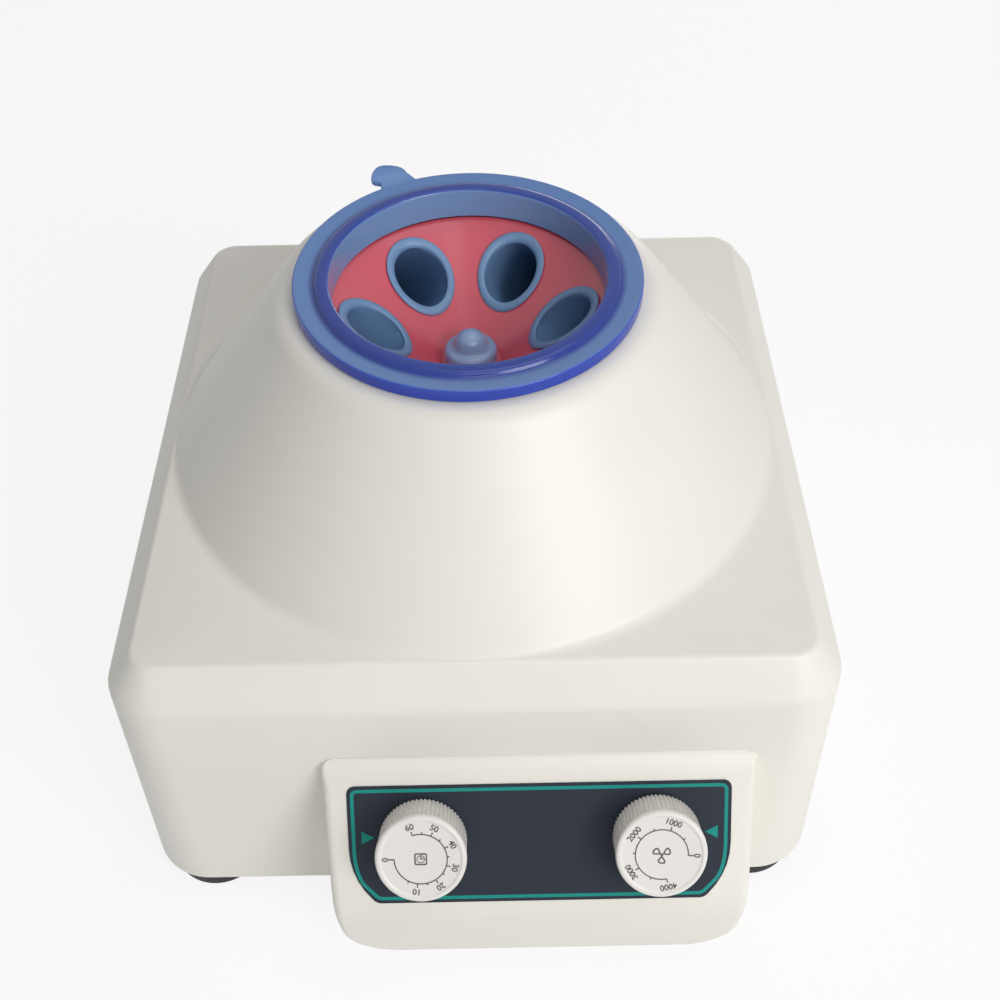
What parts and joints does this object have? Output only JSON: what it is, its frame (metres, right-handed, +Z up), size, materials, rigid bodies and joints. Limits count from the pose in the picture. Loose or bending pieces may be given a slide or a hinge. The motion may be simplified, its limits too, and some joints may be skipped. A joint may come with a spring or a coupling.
{
  "type": "benchtop centrifuge",
  "caption": "Benchtop centrifuge: square moulded case with a cone, an open lid ring, an angled tube rotor and a front console with timer and speed knobs.",
  "frame": {"origin": "middle of the part's box on the surface that the feet stand on", "axes": "+Z up, -Y towards the front with the console, +X to the right"},
  "size_m": [0.2714, 0.3137, 0.2133],
  "materials": {
    "case_plastic": "moulded ivory plastic, satin",
    "zinc_sheet": "zinc-plated sheet",
    "screw_steel": "plated screws",
    "panel_sheet": "printed charcoal sheet",
    "black_rubber": "moulded rubber",
    "motor_steel": "grey enamel",
    "lamination_steel": "stacked laminations",
    "cast_aluminium": "die cast",
    "bearing_steel": "ground steel",
    "brush_moulding": "phenolic moulding",
    "copper": "turned copper",
    "rotor_plastic": "moulded red plastic",
    "nut_plastic": "moulded blue-grey cap",
    "sleeve_plastic": "moulded blue-grey plastic",
    "black_moulding": "black moulding",
    "knob_plastic": "moulded off-white plastic",
    "circuit_board": "green board with components",
    "terminal_moulding": "white moulding",
    "lid_plastic": "translucent blue plastic"
  },
  "bodies": {
    "base": {"housing_shell": "case_plastic", "guard_bowl": "zinc_sheet", "bowl_screws": "screw_steel", "panel_overlay": "panel_sheet", "base_plate": "zinc_sheet", "foot_screws": "screw_steel", "motor_bracket": "zinc_sheet", "damper_screws": "screw_steel", "motor_can": "motor_steel", "stator_core": "lamination_steel", "end_bell_top": "cast_aluminium", "end_bell_bottom": "cast_aluminium", "tie_bolts": "screw_steel", "motor_screws": "screw_steel", "upper_bearing": "bearing_steel", "lower_bearing": "bearing_steel", "brush_holder_left": "brush_moulding", "brush_holder_right": "brush_moulding", "timer_body": "black_moulding", "speed_body": "black_moulding", "control_nuts": "screw_steel", "control_board": "circuit_board", "board_standoffs": "screw_steel", "terminal_block": "terminal_moulding", "power_inlet": "black_moulding", "inlet_screws": "screw_steel", "foot_front_left": "black_rubber", "foot_front_right": "black_rubber", "foot_rear_left": "black_rubber", "foot_rear_right": "black_rubber", "damper_1": "black_rubber", "damper_2": "black_rubber", "damper_3": "black_rubber", "damper_4": "black_rubber"},
    "spinner": {"motor_shaft": "bearing_steel", "armature": "lamination_steel", "commutator": "copper", "rotor": "rotor_plastic", "rotor_washer": "bearing_steel", "rotor_nut": "nut_plastic", "tube_sleeve_1": "sleeve_plastic", "tube_sleeve_2": "sleeve_plastic", "tube_sleeve_3": "sleeve_plastic", "tube_sleeve_4": "sleeve_plastic", "tube_sleeve_5": "sleeve_plastic", "tube_sleeve_6": "sleeve_plastic"},
    "lid": {"lid_ring": "lid_plastic"},
    "timer_dial": {"timer_shaft": "bearing_steel", "timer_knob": "knob_plastic"},
    "speed_dial": {"speed_shaft": "bearing_steel", "speed_knob": "knob_plastic"}
  },
  "joints": [
    {"name": "rotor_spin", "type": "hinge", "parent": "base", "child": "spinner", "pos_m": [0, 0.01924, 0.1365], "axis": [0, 0, 1], "continuous": true},
    {"name": "lid_lift", "type": "slide", "parent": "base", "child": "lid", "axis": [0, 0, 1], "range_m": [0, 0.12]},
    {"name": "timer_turn", "type": "hinge", "parent": "base", "child": "timer_dial", "pos_m": [-0.0203, -0.13316, 0.07055], "axis": [0, 0.7986, -0.6018], "range_deg": [0, 290]},
    {"name": "speed_turn", "type": "hinge", "parent": "base", "child": "speed_dial", "pos_m": [0.0651, -0.13316, 0.07055], "axis": [0, 0.7986, -0.6018], "range_deg": [0, 290]}
  ]
}
